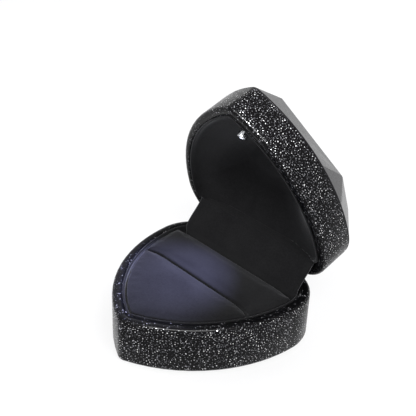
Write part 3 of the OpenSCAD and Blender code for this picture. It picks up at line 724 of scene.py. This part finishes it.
def sewn_pad(name, outline):
    """A pad built a little slim, then blown up as cloth so that the velvet pulls tight."""
    rings = [raised(outline(p), z) for p, z in pad_edge]
    pad = new_piece(name, np.vstack(rings) * sewing_scale, loft_faces(len(rings), len(rings[0]), capped=True), velvet)
    remesh = pad.modifiers.new("remesh", "REMESH")
    remesh.mode = "VOXEL"
    remesh.voxel_size = weave * MM * sewing_scale
    settled(pad)
    start = np.array([v.co[:] for v in pad.data.vertices])
    cloth = pad.modifiers.new("cloth", "CLOTH")
    cloth.settings.use_pressure = True
    cloth.settings.uniform_pressure_force = 4
    cloth.settings.quality = 4
    cloth.settings.effector_weights.gravity = 0
    for step in range(1, 21):
        bpy.context.scene.frame_set(step)
    blown = pad.evaluated_get(bpy.context.evaluated_depsgraph_get()).data
    moved = np.array([v.co[:] for v in blown.vertices]) - start
    pad.modifiers.clear()
    # Each point moves by the swell at most, and less towards the foot
    far = np.linalg.norm(moved, axis=1, keepdims=True)
    limit = swell * MM * sewing_scale * np.clip((start[:, 2:] / (MM * sewing_scale) - card_z) / 4, 0, 1)
    final = (start + moved * np.minimum(1, limit / np.maximum(far, 1e-9))) / sewing_scale
    pad.data.vertices.foreach_set("co", final.ravel())
    pad.data.update()
    pad.modifiers.new("finer", "SUBSURF").levels = 1
    settled(pad)
    pad.data.shade_smooth()
    return pad


for name, outline, source in (("front_cushion", front_outline, "front_pad"),
                              ("rear_cushion", rear_outline, "rear_pad")):
    pad = sewn_pad(name, outline)
    dress(pad.data, velvet)
    add_piece(pad, "base", "velvet", source)
bpy.context.scene.frame_set(1)

# ---- Foot pad ----
# A heart of black felt, cut from the sheet with a blunt tip and stuck into a recess of the
# underside, so that the box neither slides nor scratches.
felt = napped("felt", (0.035, 0.035, 0.036), (0.015, 0.015, 0.016), 3500, 0.2, 0.8, 0.8)
foot_edge = [(5.75, 0.0), (5.6, 0.06), (5.53, 0.2), (5.5, 0.6), (5.5, 1.2)]
foot = [raised(heart(p, 2), z) for p, z in foot_edge]
add_piece(new_piece("felt_foot", np.vstack(foot), loft_faces(len(foot), len(foot[0]), capped=True), felt, sharp=60),
          "base", "felt", "foot_pad")

# ---- Hinges ----
# Two small barrel hinges of stamped steel, screwed to flat seats inside the backs of the
# lobes. Each pin is a plain steel rod.
steel = grained("steel", (0.55, 0.55, 0.57), (0.36, 0.36, 0.38), (0.25, 0.42), 900, (0.12, 1, 1), metal=1.0)
for name, source, body in (("base_leaves", "hinge_leaves_base", "base"), ("lid_leaves", "hinge_leaves_lid", "lid"),
                           ("pins", "hinge_pins", "base")):
    add_piece(smooth_copy("hinge_" + name, source, 30, steel), body, "steel", source)


def revolved(profile, n=40):
    """Points and faces of a shape turned about Z from pairs of radius and height."""
    turns = 2 * math.pi * np.arange(n) / n
    rings = [np.column_stack((r * np.cos(turns), r * np.sin(turns), np.full(n, z))) for r, z in profile]
    return np.vstack(rings), loft_faces(len(rings), n, capped=True)


def cross_head_screw(name, head_r, head_h, shank_r, shank_l):
    """A domed screw with a cross cut in its head. The head sits on Z = 0 and looks along +Z."""
    dome = [(head_r * math.cos(a), head_h * math.sin(a)) for a in np.radians((15, 30, 45, 60, 75, 86))]
    shank = [(0.1, -shank_l), (shank_r, 0.5 - shank_l), (shank_r, 0), (head_r, 0)]
    screw = new_piece(name, *revolved(shank + dome, 20))
    long, narrow, cross_z = head_r * 0.62, head_r * 0.14, head_h * 0.35
    cutters = []
    for x, y in ((long, narrow), (narrow, long)):
        corners = [(*corner, z) for z in (cross_z, head_h + 1) for corner in ((-x, -y), (x, -y), (x, y), (-x, y))]
        cutters.append(new_piece("cutter", corners, loft_faces(2, 4, capped=True)))
        screw.modifiers.new("cross", "BOOLEAN").object = cutters[-1]
    settled(screw)
    for cutter in cutters:
        bpy.data.objects.remove(cutter)
    return screw


# The same screw at every point of a piece, turned by one rotation
screw_set = bpy.data.node_groups.new("screw_set", "GeometryNodeTree")
for label, kind in (("Places", "NodeSocketGeometry"), ("Screw", "NodeSocketObject"), ("Turn", "NodeSocketVector"),
                    ("Finish", "NodeSocketMaterial")):
    screw_set.interface.new_socket(name=label, in_out="INPUT", socket_type=kind)
screw_set.interface.new_socket(name="Screws", in_out="OUTPUT", socket_type="NodeSocketGeometry")
given, result = screw_set.nodes.new("NodeGroupInput"), screw_set.nodes.new("NodeGroupOutput")
pattern = node(screw_set, "GeometryNodeObjectInfo", Object=given.outputs["Screw"])
copies = node(screw_set, "GeometryNodeInstanceOnPoints", Points=given.outputs["Places"],
              Instance=pattern.outputs["Geometry"], Rotation=given.outputs["Turn"])
real = node(screw_set, "GeometryNodeRealizeInstances", Geometry=copies.outputs[0])
finished = node(screw_set, "GeometryNodeSetMaterial", Geometry=real.outputs[0], Material=given.outputs["Finish"])
screw_set.links.new(finished.outputs[0], result.inputs[0])


def add_screws(name, source, spots, screw, body, place, turn):
    """Copies of a screw at spots, all turned about X by some degrees."""
    screws = new_piece(name, spots, [], place=place)
    grown(screws, screw_set, Screw=screw, Turn=(math.radians(turn), 0, 0), Finish=steel)
    shade(screws.data, 35)
    add_piece(screws, body, "steel", source)


seat_y, leaf_t, screw_x, screw_z = heart_length / 2 - 4.2, 0.8, 2.6, 11.9
hinge_screw = cross_head_screw("hinge_screw", 1.1, 0.6, 0.6, 2.6)
for name, source, body, z, place, turn in (
        ("hinge_screws_low", "hinge_screws_base", "base", screw_z, None, 90),
        ("hinge_screws_high", "hinge_screws_lid", "lid", 2 * hinge_z - screw_z, open_lid, 90 - open_angle)):
    spots = [(side * lobe_x + step, seat_y - leaf_t, z) for side in (-1, 1) for step in (-screw_x, screw_x)]
    add_screws(name, source, spots, hinge_screw, body, place, turn)
bpy.data.objects.remove(hinge_screw)

# ---- Velvet panel over the hinge ----
# One strip of velvet, glued to the base's back wall and to the lid's back, hides the hinges. The real strip folds as
# the lid turns; here it is drawn once, as it lies with the lid open.
panel_half_w, panel_t = 27.6, 0.5


def swung(y, z):
    """A point of the shut lid's section, swung open."""
    p = open_lid @ Vector((0, y, z))
    return p.y, p.z


# The strip's section: up the base's wall, over the gap in one soft curve, and into the lid
low = [(panel_y, z) for z in np.linspace(floor_z, base_h - 1.5, 14)] + [(panel_y - 0.1, base_h - 0.2)]
high = [(panel_y - 0.1, lid_rim_z + 0.2)] + [(panel_y, z) for z in np.linspace(lid_rim_z + 1.5, lid_rim_z + 4.6, 8)]
high = [swung(y, z) for y, z in high]
start, end = np.array(low[-1]), np.array(high[0])
after, before = start + (-0.05, 2.6), end + (-0.65, -2.5)
fold = [(1 - t)**3 * start + 3 * (1 - t)**2 * t * after + 3 * (1 - t) * t**2 * before + t**3 * end
        for t in np.linspace(0.1, 0.9, 9)]
course = low + fold + high
across_x = np.linspace(-panel_half_w, panel_half_w, 81)
panel = new_piece("hinge_panel", [(x, y, z) for y, z in course for x in across_x],
                  loft_faces(len(course), len(across_x), closed=False), velvet)
thicken(panel, panel_t, 1 if panel.data.polygons[0].normal.y > 0 else -1)
settled(panel)
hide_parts("hinge_liner")
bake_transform(panel)

# ---- Lid lining ----
# Velvet glued over a moulded bowl: a soft bead at the rim, a short wall, and one smooth
# hollow that clears a ring's head. It is tucked against the hinge panel.
bowl_depth, lining_t = 12.5, 0.6
# Inset from the wall's lining, back edge in front of the panel, share of depth, back corners
bowl_edge = np.array([(0.1, -1, 0.03, 5), (0.5, -0.7, 0.1, 6), (1.5, -0.3, 0.17, 8), (3.5, 0, 0.25, 10),
                      (6, 1.6, 0.34, 10.5), (8.3, 3.2, 0.44, 10), (10.5, 5, 0.57, 9.5), (12.5, 7, 0.71, 9),
                      (14.4, 9.2, 0.84, 8.5), (16.4, 12, 0.95, 7.5), (18.4, 15, 1, 6.5)])


def shield(inset, tip, back, corner, n=50):
    """The heart from its tip to a straight back edge with rounded corners."""
    half = list(right_side(inset, tip, back - corner, n_side=n))
    for a in np.radians(range(6, 91, 6)):
        y = back - corner + corner * math.sin(a)
        half.append((side_x(y, inset) - corner * (1 - math.cos(a)), y))
    half = np.array(half)
    cross = [(x, back) for x in np.linspace(half[-1][0], -half[-1][0], n)[1:-1]]
    return np.vstack((half, cross, (half[1:] * (-1, 1))[::-1]))


def softened(table, steps):
    """Rows between a table's rows, on a smooth curve through them."""
    padded = np.vstack((2 * table[0] - table[1], table, 2 * table[-1] - table[-2]))
    rows = []
    for i in range(1, len(table)):
        a, b, c, d = padded[i - 1:i + 3]
        for t in np.arange(steps) / steps:
            squared, cubed = 2 * a - 5 * b + 4 * c - d, 3 * b - a - 3 * c + d
            rows.append(b + 0.5 * ((c - a) * t + squared * t**2 + cubed * t**3))
    return rows + [table[-1]]


wall_edge = [(lid_wall + 0.05, 1.0)] + bead(lid_wall + 0.02, 0.22, -1)
rings = [raised(shield(p, 2 - p + lid_wall, panel_y + 2, 4), lid_rim_z + z) for p, z in wall_edge]
rings += [raised(shield(lid_wall + liner_t + p, 0.5, panel_y - back, corner), lid_rim_z + bowl_depth * share)
          for p, back, share, corner in softened(bowl_edge, 4)]
middle = rings[-1].mean(axis=0)
rings += [middle + (rings[-1] - middle) * s for s in (0.75, 0.5, 0.25, 0.02)]
bowl = new_piece("lid_lining", np.vstack(rings), loft_faces(len(rings), len(rings[0])), velvet)
with edited(bowl.data) as work:
    # Cut straight at the hinge panel, then close the small hole in the middle of the bowl
    bmesh.ops.bisect_plane(work, geom=work.verts[:] + work.edges[:] + work.faces[:],
                           plane_co=(0, (panel_y - 0.15) * MM, 0), plane_no=(0, 1, 0), clear_outer=True)
    hole = [e for e in work.edges if e.is_boundary and e.calc_length() < 0.5 * MM
            and all(abs(v.co.z - (lid_rim_z + bowl_depth) * MM) < 1e-6 for v in e.verts)]
    bmesh.ops.contextual_create(work, geom=hole)
bowl.data.transform(open_lid_metres)
deepest = max(bowl.data.polygons, key=lambda p: p.center.y)
thicken(bowl, lining_t, 1 if deepest.normal.y > 0 else -1)
settled(bowl)
bowl.data.shade_smooth()
add_piece(bowl, "lid", "velvet", "lid_liner")

# ---- Lid panel ----
# A moulded black panel lies behind the velvet, its flange under the band's stop ring. It
# carries the lamp's boss, a seat for the cell's tray and two posts for the board.
moulded_black = grained("moulded_black", (0.022, 0.022, 0.023), (0.012, 0.012, 0.013), (0.45, 0.65), 1600, bump=0.25)
dress(nodes["lid_panel"].data, moulded_black)

# ---- Lamp ----
# A chrome plated bezel with flutes and a turned groove holds a clear light emitting diode. A
# nut clamps it from behind. It shines across the bowl onto the ring slot.
lamp_y, lamp_depth, lamp_tilt = hinge_y - 50.6, 5, 34
bezel_r, groove, flute = 1.8, 0.06, 0.94
at_lamp = open_lid @ Matrix.Translation((0, lamp_y, lid_rim_z + lamp_depth))
at_lamp = at_lamp @ Matrix.Rotation(math.radians(lamp_tilt), 4, "X")
chrome = grained("chrome", (0.55, 0.56, 0.58), (0.42, 0.43, 0.45), (0.06, 0.16), 1500, (1, 1, 0.1), 0.02, 1.0)
bezel_shape = [(1.26, -1.2), (1.26, -2.62), (1.34, -2.76), (1.46, -2.8), (1.6, -2.77), (1.74, -2.66),
               (bezel_r, -2.5), (bezel_r, -2.1), (bezel_r - groove, -2.02), (bezel_r - groove, -1.86),
               (bezel_r, -1.78), (bezel_r, 5.1), (1.7, 5.2), (1.52, 5.2), (1.52, -1.2)]
n = 56
points, _ = revolved(bezel_shape, n)
# Seven flutes pull in three of every eight points on the rows that bound the barrel
for row in (7, 10, 11):
    for j in range(n):
        if j % 8 > 4:
            points[row * n + j, :2] *= flute
last = (len(bezel_shape) - 1) * n
faces = loft_faces(len(bezel_shape), n) + [(last + j, last + (j + 1) % n, (j + 1) % n, j) for j in range(n)]
add_piece(new_piece("lamp_bezel", points, faces, chrome, at_lamp, sharp=30), "lid", "chrome", "led_bezel")

clear_lens, tree, shader = new_material("clear_lens")
glow = placed_group(tree, grain, Scale=2500)
bluish = blend_colours(tree, glow.outputs["Value"], (0.72, 0.76, 1.0), (0.95, 0.96, 1.0))
tree.links.new(bluish, shader.inputs["Emission Color"])
shader.inputs["Emission Strength"].default_value = 3.0
shader.inputs["Base Color"].default_value = (0.85, 0.88, 1, 1)
shader.inputs["Roughness"].default_value = 0.15
lens_r = 1.2
dome = [(lens_r * math.sin(a), -1.8 - lens_r * math.cos(a)) for a in np.radians((4, 15, 30, 45, 60, 75, 90))]
lens = new_piece("lamp_lens", *revolved(dome + [(lens_r, -1.35), (1.45, -1.3), (1.45, 2.0)]), clear_lens, at_lamp)
add_piece(lens, "lid", "clear_lens", "led_lamp")
add_piece(smooth_copy("lamp_nut", "led_nut", 30, steel), "lid", "steel", "led_nut")

shine = bpy.data.lights.new("lamp_light", "SPOT")
shine.energy = 0.9
shine.color = (0.52, 0.54, 1.0)
shine.spot_size = math.radians(58)
shine.spot_blend = 1.0
shine.shadow_soft_size = 1.2 * MM
lamp_light = bpy.data.objects.new("lamp_light", shine)
bpy.context.collection.objects.link(lamp_light)
lamp_light.matrix_world = aimed(at_lamp @ Vector((0, 0, -3.4)) * MM, Vector((-7, -5, 17)) * MM)
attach(lamp_light, "lid")

# ---- Board, cell and wires ----
# Behind the panel a small green board on two posts feeds the lamp from a round cell in its
# tray. Three pairs of wires join lamp, cell and switch to it.
circuit_green, tree, shader = new_material("circuit_green")
place = node(tree, "ShaderNodeTexCoord")
tracks = node(tree, "ShaderNodeTexBrick", Vector=place.outputs["Object"], Scale=420, Mortar_Size=0.03)
tracks.inputs["Color1"].default_value = (0.010, 0.105, 0.045, 1)
tracks.inputs["Color2"].default_value = (0.013, 0.125, 0.052, 1)
tracks.inputs["Mortar"].default_value = (0.03, 0.22, 0.10, 1)
tree.links.new(tracks.outputs["Color"], shader.inputs["Base Color"])
shader.inputs["Roughness"].default_value = 0.3
chip_black = grained("chip_black", (0.03, 0.03, 0.03), (0.015, 0.015, 0.015), (0.4, 0.6), 3000, bump=0.2)
cell_steel = grained("cell_steel", (0.62, 0.62, 0.63), (0.45, 0.45, 0.47), (0.2, 0.38), 1200, (0.2, 1, 1), 0.05, 1.0)
red_wire = grained("red_wire", (0.42, 0.02, 0.02), (0.30, 0.012, 0.012), (0.35, 0.5), 1800)
black_wire = grained("black_wire", (0.025, 0.025, 0.026), (0.014, 0.014, 0.015), (0.35, 0.5), 1800)
white_wire = grained("white_wire", (0.72, 0.71, 0.68), (0.60, 0.59, 0.56), (0.35, 0.5), 1800)
white_plastic = grained("white_plastic", (0.74, 0.74, 0.72), (0.64, 0.64, 0.62), (0.3, 0.45), 1400, bump=0.1)
for material, names in ((circuit_green, ("circuit_board",)), (chip_black, ("resistor",)), (steel, ("battery_clip",)),
                        (moulded_black, ("battery_tray", "switch_body")), (cell_steel, ("coin_cell",)),
                        (red_wire, ("lamp_wires",)), (black_wire, ("battery_wires",)), (white_wire, ("switch_wires",)),
                        (white_plastic, ("switch_plunger",))):
    for name in names:
        dress(nodes[name].data, material)
board_screw = cross_head_screw("board_screw", 1.1, 0.65, 0.5, 2.0)
panel_mould_t, board_t, board_y = 2.4, 0.8, 15.9
board_top = lid_rim_z + bowl_depth + 0.8 * panel_mould_t - 1 + board_t
spots = [(x, board_y + y, board_top) for x, y in ((-5, -1.9), (5, 1.9))]
add_screws("board_screw_pair", "board_screws", spots, board_screw, "lid", open_lid, -open_angle)
bpy.data.objects.remove(board_screw)
